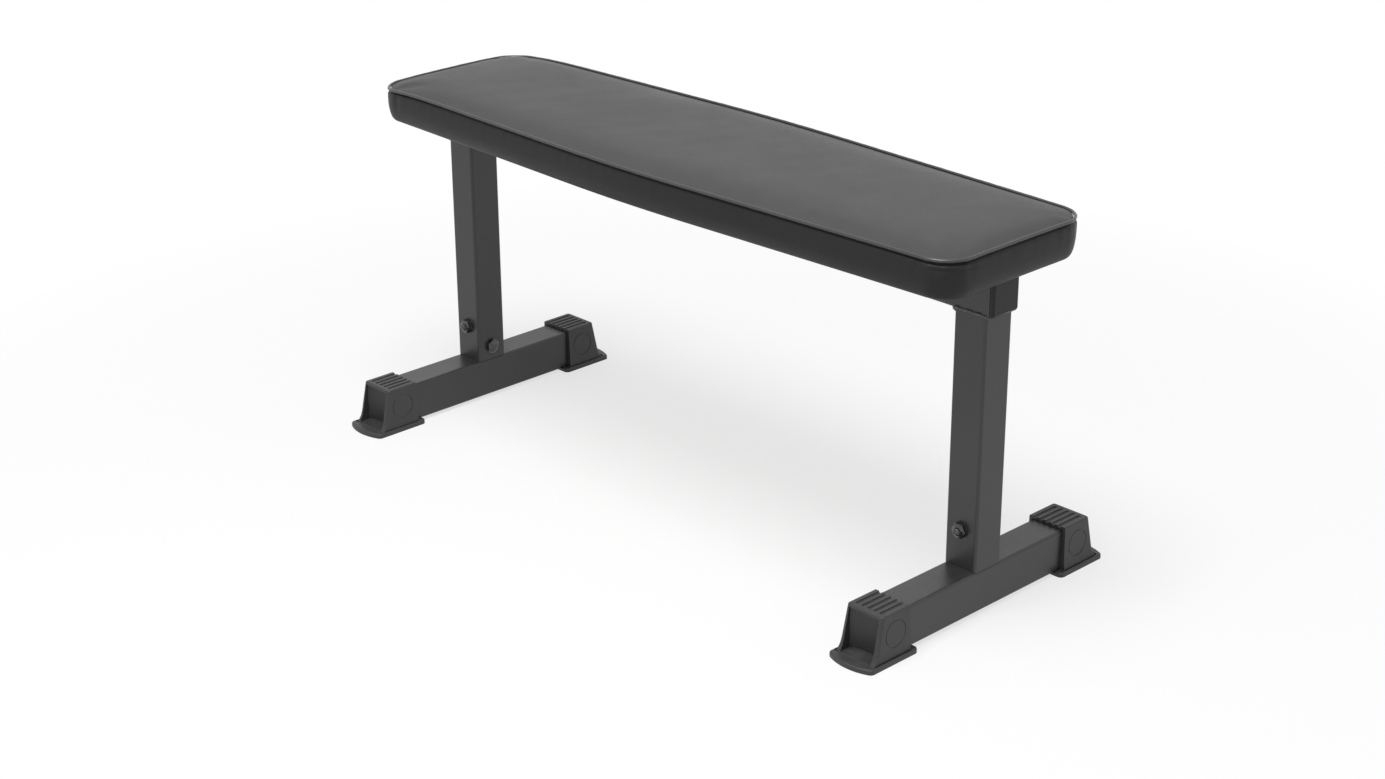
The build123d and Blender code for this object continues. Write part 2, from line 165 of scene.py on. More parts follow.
# %% World
FILL_LIGHT = 0.40
world = bpy.data.worlds.new("studio")
bpy.context.scene.world = world
world.use_nodes = True
tree = world.node_tree
tree.nodes.clear()
rays = node(tree, "ShaderNodeLightPath")
seen = maths(tree, "MAXIMUM", rays.outputs["Is Camera Ray"], rays.outputs["Is Glossy Ray"])
seen = maths(tree, "MAXIMUM", seen, rays.outputs["Is Transmission Ray"])
white = node(tree, "ShaderNodeBackground", {"Color": (1, 1, 1, 1), "Strength": 1.0})
fill = node(tree, "ShaderNodeBackground", {"Color": (1, 1, 1, 1), "Strength": FILL_LIGHT})
mixed = node(tree, "ShaderNodeMixShader", {0: seen, 1: fill.outputs[0], 2: white.outputs[0]})
node(tree, "ShaderNodeOutputWorld", {"Surface": mixed.outputs[0]})
print("world fills with", FILL_LIGHT)


# %% Lamps
def soft_lamp(name, place_at, aim, size, power):
    lamp = bpy.data.objects.new(name, bpy.data.lights.new(name, "AREA"))
    lamp.data.size = size
    lamp.data.energy = power
    lamp.location = place_at
    lamp.rotation_mode = "QUATERNION"
    lamp.rotation_quaternion = (Vector(aim) - Vector(place_at)).to_track_quat("-Z", "Y")
    bpy.context.scene.collection.objects.link(lamp)
    return lamp


soft_lamp("overhead_lamp", (0.3, -0.75, 2.7), (0, 0, 0.4), 1.3, 56)
soft_lamp("front_lamp", (1.4, -2.5, 1.3), (0, 0, 0.25), 1.4, 4.5)
print("two soft lamps")

# %% Floor
FLOOR_HALF = 9.0
FLOOR_GLOW = 0.68
SHADE_NEAR, SHADE_FAR = 0.6, 1.3
floor = mesh_object("floor", [(x, y, 0) for x, y in ((-1, -1), (1, -1), (1, 1), (-1, 1))], [(0, 1, 2, 3)])
floor.data.transform(Matrix.Scale(FLOOR_HALF, 4))
paper = bpy.data.materials.new("floor_paper")
paper.use_nodes = True
tree = paper.node_tree
tree.nodes.clear()
rays = node(tree, "ShaderNodeLightPath")
seen = maths(tree, "MAXIMUM", rays.outputs["Is Camera Ray"], rays.outputs["Is Glossy Ray"])
seen = maths(tree, "MAXIMUM", seen, rays.outputs["Is Transmission Ray"])
spot = node(tree, "ShaderNodeTexCoord").outputs["Object"]
reach = node(tree, "ShaderNodeVectorMath", {0: spot}, operation="LENGTH").outputs["Value"]
away = spread(tree, reach, SHADE_NEAR, SHADE_FAR, FLOOR_GLOW, 1.0)
glow = node(tree, "ShaderNodeEmission", {"Color": (1, 1, 1, 1), "Strength": 1.0})
shade = node(tree, "ShaderNodeBsdfDiffuse", {"Color": (0.94, 0.94, 0.94, 1)})
share = maths(tree, "MULTIPLY", seen, away)
mixed = node(tree, "ShaderNodeMixShader", {0: share, 1: shade.outputs[0], 2: glow.outputs[0]})
node(tree, "ShaderNodeOutputMaterial", {"Surface": mixed.outputs[0]})
floor.data.materials.append(paper)
print("floor", 2 * FLOOR_HALF, "m square")

# %% [markdown]
# ## Effects that several finishes share
# Paint, plastic and vinyl differ in colour and gloss, but all of them are a little uneven, all are rubbed
# along their edges, and all gather dust on top. Each effect is one node group with its own sockets, so a
# finish places it and sets its own scale. All of them read object coordinates, which here are metres in
# the bench's own frame.


# %% Effect: uneven tone
def build_mottle():
    tree, given, out = new_group("uneven_tone", {"Scale": 20.0, "Contrast": 2.0}, ["Value"])
    spot = node(tree, "ShaderNodeTexCoord").outputs["Object"]
    cloud = node(tree, "ShaderNodeTexNoise", {"Vector": spot, "Scale": given.outputs["Scale"], "Detail": 6.0,
                                              "Roughness": 0.62})
    centred = maths(tree, "SUBTRACT", cloud.outputs["Fac"], 0.5)
    widened = maths(tree, "MULTIPLY", centred, given.outputs["Contrast"])
    moved = node(tree, "ShaderNodeMath", {0: widened, 1: 0.5}, operation="ADD", use_clamp=True)
    tree.links.new(moved.outputs[0], out.inputs["Value"])
    return tree


UNEVEN_TONE = build_mottle()
print("group", UNEVEN_TONE.name)


# %% Effect: rubbed edges
def build_edge_rub():
    """Compares the rounded normal of a bevel with the true one: they differ only near an edge."""
    tree, given, out = new_group("rubbed_edges", {"Width": 0.0015, "Scale": 60.0}, ["Mask"])
    rounded = node(tree, "ShaderNodeBevel", {"Radius": given.outputs["Width"]}, samples=6)
    true_normal = node(tree, "ShaderNodeNewGeometry").outputs["Normal"]
    both = {0: rounded.outputs[0], 1: true_normal}
    meet = node(tree, "ShaderNodeVectorMath", both, operation="DOT_PRODUCT")
    edge = spread(tree, meet.outputs["Value"], 0.995, 0.85)
    spot = node(tree, "ShaderNodeTexCoord").outputs["Object"]
    patch = node(tree, "ShaderNodeTexNoise", {"Vector": spot, "Scale": given.outputs["Scale"], "Detail": 5.0})
    broken = spread(tree, patch.outputs["Fac"], 0.38, 0.68)
    tree.links.new(maths(tree, "MULTIPLY", edge, broken), out.inputs["Mask"])
    return tree


RUBBED_EDGES = build_edge_rub()
print("group", RUBBED_EDGES.name)


# %% Effect: dust on top
def build_dust():
    tree, given, out = new_group("settled_dust", {"Amount": 0.2, "Scale": 45.0}, ["Mask"])
    facing = node(tree, "ShaderNodeSeparateXYZ", {0: node(tree, "ShaderNodeNewGeometry").outputs["Normal"]})
    upward = spread(tree, facing.outputs["Z"], 0.5, 1.0)
    spot = node(tree, "ShaderNodeTexCoord").outputs["Object"]
    drift = node(tree, "ShaderNodeTexNoise", {"Vector": spot, "Scale": given.outputs["Scale"], "Detail": 8.0,
                                              "Roughness": 0.7})
    patchy = spread(tree, drift.outputs["Fac"], 0.35, 0.75)
    lying = maths(tree, "MULTIPLY", upward, patchy)
    tree.links.new(maths(tree, "MULTIPLY", lying, given.outputs["Amount"]), out.inputs["Mask"])
    return tree


SETTLED_DUST = build_dust()
print("group", SETTLED_DUST.name)


# %% Effect: fine skin of paint or plastic
def build_skin():
    """Two sizes of soft bumps: the flow of sprayed powder or the spark grain of a mould."""
    tree, given, out = new_group("fine_skin", {"Scale": 500.0, "Fine": 0.3}, ["Height"])
    spot = node(tree, "ShaderNodeTexCoord").outputs["Object"]
    broad = node(tree, "ShaderNodeTexNoise", {"Vector": spot, "Scale": given.outputs["Scale"], "Detail": 2.0})
    finer = maths(tree, "MULTIPLY", given.outputs["Scale"], 4.3)
    grain = node(tree, "ShaderNodeTexNoise", {"Vector": spot, "Scale": finer, "Detail": 2.0})
    added = maths(tree, "MULTIPLY", grain.outputs["Fac"], given.outputs["Fine"])
    tree.links.new(maths(tree, "ADD", broad.outputs["Fac"], added), out.inputs["Height"])
    return tree


FINE_SKIN = build_skin()
print("group", FINE_SKIN.name)


# %% Effect: pebbled vinyl
def build_pebble():
    """Cells with soft valleys between them, warped so that no two pebbles match."""
    tree, given, out = new_group("pebbled_vinyl", {"Scale": 900.0}, ["Height", "Valley"])
    spot = node(tree, "ShaderNodeTexCoord").outputs["Object"]
    sway = node(tree, "ShaderNodeTexNoise", {"Vector": spot, "Scale": 260.0, "Detail": 2.0})
    shift = node(tree, "ShaderNodeVectorMath", {0: sway.outputs["Color"], "Scale": 0.0016}, operation="SCALE")
    warped = node(tree, "ShaderNodeVectorMath", {0: spot, 1: shift.outputs[0]}, operation="ADD")
    cells = node(tree, "ShaderNodeTexVoronoi", {"Vector": warped.outputs[0], "Scale": given.outputs["Scale"]},
                 feature="DISTANCE_TO_EDGE")
    height = spread(tree, cells.outputs["Distance"], 0.0, 0.22)
    tree.links.new(height, out.inputs["Height"])
    tree.links.new(maths(tree, "SUBTRACT", 1.0, height), out.inputs["Valley"])
    return tree


PEBBLED_VINYL = build_pebble()
print("group", PEBBLED_VINYL.name)

# %% [markdown]
# ## Finishes for the rigid pieces
# A finish is one material. It starts from a Principled shader with its plain values set on the sockets,
# and the groups above only bend colour, roughness and surface around those values. A table of numbers per
# finish keeps the paint, the plastics and the plated steel in one function, because they are layered in
# the same order: base tone, rubbed edges, dust, then the fine skin as a bump.


# %% One layered finish
DUST_COLOUR, DUST_ROUGHNESS = (0.23, 0.225, 0.215), 0.4


def blend_colour(tree, share, first, second):
    made = node(tree, "ShaderNodeMix", {"Factor": share}, data_type="RGBA")
    for socket, value in ((6, first), (7, second)):
        if isinstance(value, bpy.types.NodeSocket):
            tree.links.new(value, made.inputs[socket])
        else:
            made.inputs[socket].default_value = (*value, 1)
    return made.outputs[2]


def layered_finish(name, dark, light, worn, rough, metallic=0.0, specular=0.5, wear_width=0.0012, dust=0.15,
                   skin_scale=500.0, skin_fine=0.3, bump=0.1, bump_depth=0.0004, tone_scale=18.0):
    finish = bpy.data.materials.new(name)
    finish.use_nodes = True
    tree = finish.node_tree
    shader = tree.nodes["Principled BSDF"]
    tone = place(tree, UNEVEN_TONE, Scale=tone_scale, Contrast=2.2).outputs["Value"]
    rub = place(tree, RUBBED_EDGES, Width=wear_width, Scale=70.0).outputs["Mask"]
    lying = place(tree, SETTLED_DUST, Amount=dust, Scale=55.0).outputs["Mask"]
    colour = blend_colour(tree, tone, dark, light)
    colour = blend_colour(tree, rub, colour, worn)
    colour = blend_colour(tree, lying, colour, DUST_COLOUR)
    tree.links.new(colour, shader.inputs["Base Color"])
    roughness = spread(tree, tone, 0.0, 1.0, rough[0], rough[1])
    roughness = maths(tree, "ADD", roughness, maths(tree, "MULTIPLY", lying, DUST_ROUGHNESS))
    tree.links.new(roughness, shader.inputs["Roughness"])
    shader.inputs["Metallic"].default_value = metallic
    shader.inputs["Specular IOR Level"].default_value = specular
    skin = place(tree, FINE_SKIN, Scale=skin_scale, Fine=skin_fine).outputs["Height"]
    raised = node(tree, "ShaderNodeBump", {"Strength": bump, "Distance": bump_depth, "Height": skin})
    tree.links.new(raised.outputs["Normal"], shader.inputs["Normal"])
    return finish


print("layered finish ready")

# %% Paint, plastics and plating
FINISHES = {
    "frame_coat": layered_finish(
        "satin_black_powder_coat", dark=(0.022, 0.022, 0.023), light=(0.029, 0.029, 0.030),
        worn=(0.085, 0.085, 0.088), rough=(0.31, 0.41), specular=0.52, dust=0.10, skin_scale=520.0,
        bump=0.22),
    # The weld coat is the frame's powder coat painted lighter: painted highlight for the light the bead
    # catches.
    "weld_coat": layered_finish(
        "powder_coat_over_weld_painted_highlight", dark=(0.036, 0.036, 0.037), light=(0.050, 0.050, 0.051),
        worn=(0.12, 0.12, 0.122), rough=(0.30, 0.40), dust=0.05, skin_scale=380.0, bump=0.35),
    "foot_plastic": layered_finish(
        "moulded_foot_plastic", dark=(0.026, 0.026, 0.027), light=(0.034, 0.034, 0.035),
        worn=(0.085, 0.085, 0.087), rough=(0.44, 0.56), dust=0.12, skin_scale=900.0, skin_fine=0.6, bump=0.45,
        bump_depth=0.0003),
    "cap_plastic": layered_finish(
        "moulded_cap_plastic", dark=(0.013, 0.013, 0.014), light=(0.018, 0.018, 0.019),
        worn=(0.075, 0.075, 0.077), rough=(0.38, 0.48), specular=0.25, dust=0.05, skin_scale=1100.0,
        bump=0.25),
    "black_zinc": layered_finish(
        "black_zinc_plate", dark=(0.050, 0.050, 0.053), light=(0.11, 0.11, 0.115),
        worn=(0.42, 0.42, 0.43), rough=(0.10, 0.18), metallic=0.85, wear_width=0.0007, dust=0.05,
        skin_scale=1600.0, bump=0.08, tone_scale=160.0),
    "bright_zinc": layered_finish(
        "bright_zinc_plate", dark=(0.42, 0.42, 0.43), light=(0.60, 0.60, 0.60),
        worn=(0.75, 0.75, 0.74), rough=(0.28, 0.44), metallic=1.0, wear_width=0.0006, dust=0.05,
        skin_scale=1500.0, bump=0.2, tone_scale=220.0),
}
print("finishes", sorted(FINISHES))

# %% [markdown]
# The board under the pad is raw plywood. Its face grain runs along the bench, so a noise that is
# stretched forty times in X gives the fibres, and a slow wave across them gives the growth bands.


# %% Plywood
PALE_WOOD, RED_WOOD, DARK_FIBRE = (0.53, 0.38, 0.23), (0.42, 0.28, 0.15), (0.27, 0.17, 0.09)


def plywood():
    finish = bpy.data.materials.new("raw_plywood")
    finish.use_nodes = True
    tree = finish.node_tree
    shader = tree.nodes["Principled BSDF"]
    spot = node(tree, "ShaderNodeTexCoord").outputs["Object"]
    along = node(tree, "ShaderNodeMapping", {"Vector": spot, "Scale": (1.0, 40.0, 40.0)}).outputs[0]
    fibre = node(tree, "ShaderNodeTexNoise",
                 {"Vector": along, "Scale": 14.0, "Detail": 8.0, "Roughness": 0.65}).outputs["Fac"]
    bands = node(tree, "ShaderNodeMapping", {"Vector": spot, "Scale": (0.6, 9.0, 9.0)}).outputs[0]
    growth = node(tree, "ShaderNodeTexNoise",
                  {"Vector": bands, "Scale": 6.0, "Detail": 3.0, "Distortion": 0.6}).outputs["Fac"]
    colour = blend_colour(tree, spread(tree, growth, 0.35, 0.65), PALE_WOOD, RED_WOOD)
    colour = blend_colour(tree, spread(tree, fibre, 0.58, 0.75), colour, DARK_FIBRE)
    tree.links.new(colour, shader.inputs["Base Color"])
    tree.links.new(spread(tree, fibre, 0.3, 0.7, 0.62, 0.8), shader.inputs["Roughness"])
    raised = node(tree, "ShaderNodeBump", {"Strength": 0.4, "Distance": 0.0004, "Height": fibre})
    tree.links.new(raised.outputs["Normal"], shader.inputs["Normal"])
    return finish


FINISHES["plywood"] = plywood()
print("plywood ready")

# %% Dress the rigid solids
dressed = 0
for part in frame["record"]["subparts"]:
    slot_name = part["material_slot"]
    if slot_name in FINISHES:
        shape = frame["nodes"][part["node"]]
        shape.data.materials.clear()
        shape.data.materials.append(FINISHES[slot_name])
        dressed += 1
print("dressed", dressed, "solids")

# %% [markdown]
# ## Weld beads
# The uprights are welded to the beam all the way round. A fillet solid has the right size but no ripples.
# A real bead is a row of small overlapping pools that wanders a little, so a round section is swept round
# the upright, thick in the inside corners, thin on the flush sides, and swelled once for every pool.

# %% Welds under the beam
TUBE_HALF, TUBE_CORNER = 0.0225, 0.0035
UPRIGHT_X, JOINT_Z = 0.442, 0.3655
POOL_PITCH, POOL_SWELL, POOL_MEAN = 0.0031, 0.16, 0.6
BEAD_INNER, BEAD_OUTER, BEAD_FLUSH = 0.0046, 0.0031, 0.0024
FLUSH_SINK, FLUSH_LIFT = 0.0009, 0.0017
WANDER = ((0.0003, 431), (0.0002, 967))
WELD_STEPS, BEAD_SIDES = 240, 10


def round_square(steps):
    """Points and outward normals round the upright's section, evenly spaced."""
    flat = TUBE_HALF - TUBE_CORNER
    arc = math.pi / 2 * TUBE_CORNER
    side = 2 * flat + arc
    rows = []
    for run in np.arange(steps) / steps * 4 * side:
        turn, along = divmod(run, side)
        angle = turn * math.pi / 2
        bend = max(0.0, along - 2 * flat) / TUBE_CORNER
        normal = (math.cos(angle + bend), math.sin(angle + bend))
        centre = (flat, min(along, 2 * flat) - flat)
        x = math.cos(angle) * centre[0] - math.sin(angle) * centre[1] + TUBE_CORNER * normal[0]
        y = math.sin(angle) * centre[0] + math.cos(angle) * centre[1] + TUBE_CORNER * normal[1]
        rows.append((x, y, *normal, run))
    return np.array(rows)


def weld_bead(name, end):
    x, y, nx, ny, run = round_square(WELD_STEPS).T
    thick = np.where(nx * end < 0, BEAD_INNER, BEAD_OUTER) * nx ** 2 + BEAD_FLUSH * ny ** 2
    pools = 1 + POOL_SWELL * (np.abs(np.sin(math.pi * run / POOL_PITCH)) - POOL_MEAN)
    (slow, slow_rate), (quick, quick_rate) = WANDER
    wander = slow * np.sin(run * slow_rate + end) + quick * np.sin(run * quick_rate)
    out = wander - FLUSH_SINK * ny ** 2
    height = JOINT_Z + FLUSH_LIFT * ny ** 2 + wander
    centre = np.column_stack([end * UPRIGHT_X + x + nx * out, y + ny * out, height])
    across = np.column_stack([nx, ny, np.zeros(WELD_STEPS)])
    bead = closed_tube(name, centre, across, thick * pools, BEAD_SIDES)
    bead.data.materials.append(FINISHES["weld_coat"])
    return bead


for end_name, end in (("near", 1), ("far", -1)):
    bead = weld_bead("weld_bead_" + end_name, end)
    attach(bead, "root")
    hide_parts("upright_welds_" + end_name)
    print(bead.name, len(bead.data.polygons), "faces")

# %% [markdown]
# ## The pad's outline
# Seen from above the pad is a long oblong with slightly bowed sides that taper to straight ends and wide
# rounded corners. One quarter is written as four runs, half an end, a corner, a straight side and half
# the bow, and mirrored into a closed loop. Each point keeps its outward normal, so that any ring of the
# cover is the loop moved inward.

# %% Outline
PAD_LENGTH, PAD_WIDTH = 0.982, 0.272
PAD_TAPER, PAD_BOW, PAD_CORNER = 0.041, 2.7, 0.039
PAD_Z = 0.412
END_STEPS, CORNER_STEPS, SIDE_STEPS, BOW_STEPS = 16, 18, 72, 25
QUARTER = END_STEPS + CORNER_STEPS + SIDE_STEPS + BOW_STEPS
LOOP = 4 * QUARTER


def quarter_outline():
    """Rows of x, y and outward normal, from the middle of the near end to the middle of the rear side."""
    slope = math.atan(PAD_TAPER)
    half_length, half_width = PAD_LENGTH / 2, PAD_WIDTH / 2
    bow_x, bow_y = PAD_BOW * math.sin(slope), half_width - PAD_BOW * (1 - math.cos(slope))
    centre_x = half_length - PAD_CORNER
    centre_y = bow_y - (PAD_CORNER + math.sin(slope) * (centre_x - bow_x)) / math.cos(slope)
    counts = (END_STEPS, CORNER_STEPS, SIDE_STEPS, BOW_STEPS)
    end_t, corner_t, side_t, bow_t = (np.arange(count) / count for count in counts)
    end = [(half_length, t * centre_y, 1, 0) for t in end_t]
    turns = [(math.cos(a), math.sin(a)) for a in corner_t * (math.pi / 2 - slope)]
    corner = [(centre_x + PAD_CORNER * c, centre_y + PAD_CORNER * s, c, s) for c, s in turns]
    lean, up = math.sin(slope), math.cos(slope)
    start_x, start_y = centre_x + PAD_CORNER * lean, centre_y + PAD_CORNER * up
    side = [(start_x + t * (bow_x - start_x), start_y + t * (bow_y - start_y), lean, up) for t in side_t]
    bends = [(math.sin(a), math.cos(a)) for a in slope * (1 - bow_t)]
    bow = [(PAD_BOW * s, half_width - PAD_BOW * (1 - c), s, c) for s, c in bends]
    return np.array(end + corner + side + bow)


def closed_outline():
    quarter = quarter_outline()
    top = np.array([(0, PAD_WIDTH / 2, 0, 1)])
    mirrored = quarter[:0:-1] * (-1, 1, -1, 1)
    half = np.concatenate([quarter, top, mirrored])
    return np.concatenate([half, -half])


outline = closed_outline()
loop_xy, loop_normal = outline[:, :2], outline[:, 2:]
steps = np.linalg.norm(np.roll(loop_xy, -1, 0) - loop_xy, axis=1)
loop_run = np.concatenate([[0], np.cumsum(steps)[:-1]])
print("outline of", len(outline), "points,", round(steps.sum(), 3), "m round")

# %% [markdown]
# ## The cover before it is filled
# The side band is a set of rings that follow one profile: from the hem stapled under the board, round the
# lower edge, up the side and in under the cord. The top panel rises from the seam. Rings alone would
# pinch together in the middle, so the inside of the last ring is filled with a grid that is blended from
# its four sides. The corners droop a little, and the far end sags where its cover is pulled down harder.

# %% Rings of the cover
HEM_RINGS = [(40, 6), (40, 1.5), (39.6, 0.2), (38.5, 0), (32, 0), (26, 0), (20, 0), (15, -0.4)]
ROLL_RINGS = [(9.8, -1.6), (7.6, -1.4), (5.8, -0.3), (4.3, 1.8), (3.1, 4.7), (2.1, 8.2), (1.4, 12.0)]
BAND_RINGS = [(0.9, 15.8), (0.7, 19), (0.6, 22.5), (0.6, 26), (0.6, 29.5), (0.7, 32.2), (0.8, 34),
              (0.9, 35.8), (1.4, 37.6)]
CREASE_RINGS = [(2.6, 39.4), (4.8, 40.4)]
SEAM_RING = (4.9, 43.6)
TOP_INSETS = [5.0, 5.7, 7.0, 9.0, 12.0, 16.0]
MM = 0.001
CROWN_RISE, CROWN_REACH, CROWN_START, SWELL = 8.8, 24.0, 2.3, 2.4
SEAM_STEP = 0.4
CORNER_SPAN, NEAR_CORNER_DROOP, FAR_CORNER_DROOP = 0.045, 0.5 * MM, 1.6 * MM
FAR_END_DROOP, END_REACH = 3.0 * MM, 0.07


def crown(inset):
    """Height of the unfilled top panel over the pad's underside at an inset from the outline, both in mm."""
    rise = 1 - np.exp(-(inset - SEAM_RING[0] + CROWN_START) / CROWN_REACH)
    return SEAM_RING[1] + SEAM_STEP + (CROWN_RISE - SWELL) * rise


profile = HEM_RINGS + ROLL_RINGS + BAND_RINGS + CREASE_RINGS + [SEAM_RING]
profile += [(inset, float(crown(inset))) for inset in TOP_INSETS]
seam_index = len(HEM_RINGS + ROLL_RINGS + BAND_RINGS + CREASE_RINGS)
corner_columns = [END_STEPS + CORNER_STEPS // 2, 2 * QUARTER - END_STEPS - CORNER_STEPS // 2]
corner_columns += [2 * QUARTER + c for c in corner_columns]
gap = np.min([np.abs(loop_run - loop_run[c]) for c in corner_columns], axis=0)
at_corner = np.exp(-(gap / CORNER_SPAN) ** 2)
droop = np.where(loop_xy[:, 0] > 0, NEAR_CORNER_DROOP, FAR_CORNER_DROOP) * at_corner
droop += FAR_END_DROOP * np.exp(-((PAD_LENGTH / 2 + loop_xy[:, 0]) / END_REACH) ** 2)
print(len(profile), "rings, seam is ring", seam_index)


# %% [markdown]
# Sewing is never quite even. The machine gathers the vinyl a little along the seam, and more where the
# panel is eased round a corner. Noise would do, but a few waves of unlike length along the seam repeat
# nowhere, join up with themselves closely enough, and need no seed. At the corner in front the spare band
# also tucks under itself in one fold that lies along the seam. The foam under the top panel is not quite
# level either.

# %% Gathers, tuck and foam
GATHER_WAVES = ((0.0213, 0.0, 1.0), (0.0137, 1.3, 0.8), (0.0344, 0.4, 0.7))
GATHER_EVEN, GATHER_CORNER = 0.10 * MM, 0.42 * MM
GATHER_HEIGHTS, GATHER_SHARE = (6, 30, 39, SEAM_RING[1]), (0, 0.7, 1, 0.2)
TUCK_HEIGHTS, TUCK_PUSH = (29.5, 32.2, 34.0, 35.8, 37.6, 39.4), (0.0, -0.8, -1.4, 0.7, 1.2, 0.0)
FOAM_WAVES = ((7.1, 2.3, 0.2), (15.7, -9.4, 1.9), (23.6, 29.5, 4.0), (-38.2, 17.3, 2.6))
FOAM_RISE = 0.05 * MM


def foam_waves(x, y):
    """Slow unevenness of the foam under the top panel."""
    return FOAM_RISE * sum(np.sin(math.pi * (a * x + b * y) + start) for a, b, start in FOAM_WAVES)


waves = sum(size * np.sin(2 * math.pi * loop_run / length + start)
            for length, start, size in GATHER_WAVES)
gathers = waves * (GATHER_EVEN + GATHER_CORNER * at_corner)
tucked = at_corner ** 2 * (loop_xy[:, 0] > 0) * (loop_xy[:, 1] < 0)
print("gathers up to", round(float(np.abs(gathers).max()) / MM, 2), "mm")

# %% Points of the cover
TOP_FADE, DROOP_FROM = 22.0, 12


def ring_points(inset, height, on_top, gathered=True):
    """The loop moved inward and lifted, both in mm, with gathers on the band and the droop of the corners."""
    if on_top:
        share = math.exp(-(inset - SEAM_RING[0]) / TOP_FADE)
        push = np.zeros(LOOP)
    else:
        share = np.interp(height, (DROOP_FROM, SEAM_RING[1]), (0, 1))
        push = gathered * gathers * np.interp(height, GATHER_HEIGHTS, GATHER_SHARE)
        push += gathered * tucked * np.interp(height, TUCK_HEIGHTS, TUCK_PUSH) * MM
    flat = loop_xy - loop_normal * (inset * MM - push)[:, None]
    return np.column_stack([flat, PAD_Z + height * MM - share * droop])


def grid_inside(ring):
    """Blends the four sides of a ring into a grid, first along the bench and then across it."""
    first, second, third, fourth = corner_columns
    rear, far = ring[first:second + 1], ring[second:third + 1]
    front = ring[third:fourth + 1][::-1]
    near = np.concatenate([ring[fourth:], ring[:first + 1]])[::-1]
    u = np.linspace(0, 1, len(rear))[:, None, None]
    v = np.linspace(0, 1, len(far))[None, :, None]
    straight = (1 - v) * rear[:, None] + v * front[:, None] + (1 - u) * near[None] + u * far[None]
    corners = (1 - u) * ((1 - v) * rear[0] + v * front[0]) + u * ((1 - v) * rear[-1] + v * front[-1])
    return straight - corners


rings = np.array([ring_points(*p, index > seam_index) for index, p in enumerate(profile)])
grid = grid_inside(rings[-1])[1:-1, 1:-1].reshape(-1, 3)
apart = np.linalg.norm(grid[:, None, :2] - loop_xy[None], axis=2)
away, nearest = apart.min(1) / MM, apart.argmin(1)
grid[:, 2] = PAD_Z + crown(away) * MM
grid[:, 2] -= np.exp(-(away - SEAM_RING[0]) / TOP_FADE) * droop[nearest]
grid[:, 2] += foam_waves(grid[:, 0], grid[:, 1]) * (1 - np.exp(-(away - TOP_INSETS[-1]) / TOP_FADE))
cover_points = np.concatenate([rings.reshape(-1, 3), grid])
print(len(cover_points), "points in the cover")


# %% Faces of the cover
def ring_faces(count):
    return [(i * LOOP + j, i * LOOP + (j + 1) % LOOP, (i + 1) * LOOP + (j + 1) % LOOP, (i + 1) * LOOP + j)
            for i in range(count - 1) for j in range(LOOP)]


def grid_faces(last_ring):
    """The grid's border is the last ring itself, so the panel and the rings are one skin."""
    first, second, third, fourth = corner_columns
    rows, columns = second - first + 1, third - second + 1
    number = np.zeros((rows, columns), int)
    inside = number[1:-1, 1:-1]
    inside[:] = len(profile) * LOOP + np.arange(inside.size).reshape(inside.shape)
    ring = last_ring * LOOP + np.arange(LOOP)
    number[:, 0] = ring[first:second + 1]
    number[-1, :] = ring[second:third + 1]
    number[:, -1] = ring[third:fourth + 1][::-1]
    number[0, :] = np.concatenate([ring[fourth:], ring[:first + 1]])[::-1]
    corners = (number[:-1, :-1], number[1:, :-1], number[1:, 1:], number[:-1, 1:])
    return np.stack(corners, -1).reshape(-1, 4).tolist()


cover_faces = ring_faces(len(profile)) + grid_faces(len(profile) - 1)
cover = mesh_object("pad_cover", cover_points, cover_faces)
TOP_VINYL, BAND_VINYL = 0, 1
vinyl_of_face = np.full(len(cover_faces), TOP_VINYL)
vinyl_of_face[:seam_index * LOOP] = BAND_VINYL
cover.data.materials.append(None)
cover.data.materials.append(None)
cover.data.polygons.foreach_set("material_index", vinyl_of_face)
print(len(cover_faces), "faces in the cover,", int(vinyl_of_face.sum()), "of them in the side band")

# %% [markdown]
# ## Filling the cover
# Foam pushes the vinyl out from inside, and the seam and the staples hold it. Scaling the points along
# their normals would swell everything alike. The cloth solver does what the foam does: pressure from
# inside, no weight, the seam and the hem pinned, enough stiffness to lie smooth, and a little spare vinyl
# at one corner, where it puckers.

# %% Held rings and spare vinyl
PRESSURE, STIFFNESS, SOLVER_QUALITY, SIM_FRAMES = 4.0, 8.0, 6, 20
SWELL_CAP = 3.0 * MM
CORNER_SPARE, SPARE_REACH, LEAST_WEIGHT = -0.03, 40.0, 0.001


def vertex_group(name, weights):
    group = cover.vertex_groups.new(name=name)
    for index in np.flatnonzero(weights > LEAST_WEIGHT):
        group.add([int(index)], float(weights[index]), "REPLACE")


held = np.zeros((len(profile), LOOP))
held[:len(HEM_RINGS) + 1] = 1
held[seam_index - 1:seam_index + 1] = 1
puckered = at_corner * (loop_xy.max(1) < 0)
spare = np.tile(puckered, (len(profile), 1))
spare[:len(HEM_RINGS) + 3] = 0
vertex_group("held", np.concatenate([held.ravel(), np.zeros(len(grid))]))
vertex_group("spare", np.concatenate([spare.ravel(), puckered[nearest] * np.exp(-away / SPARE_REACH)]))
print("held points", int(held.sum()))


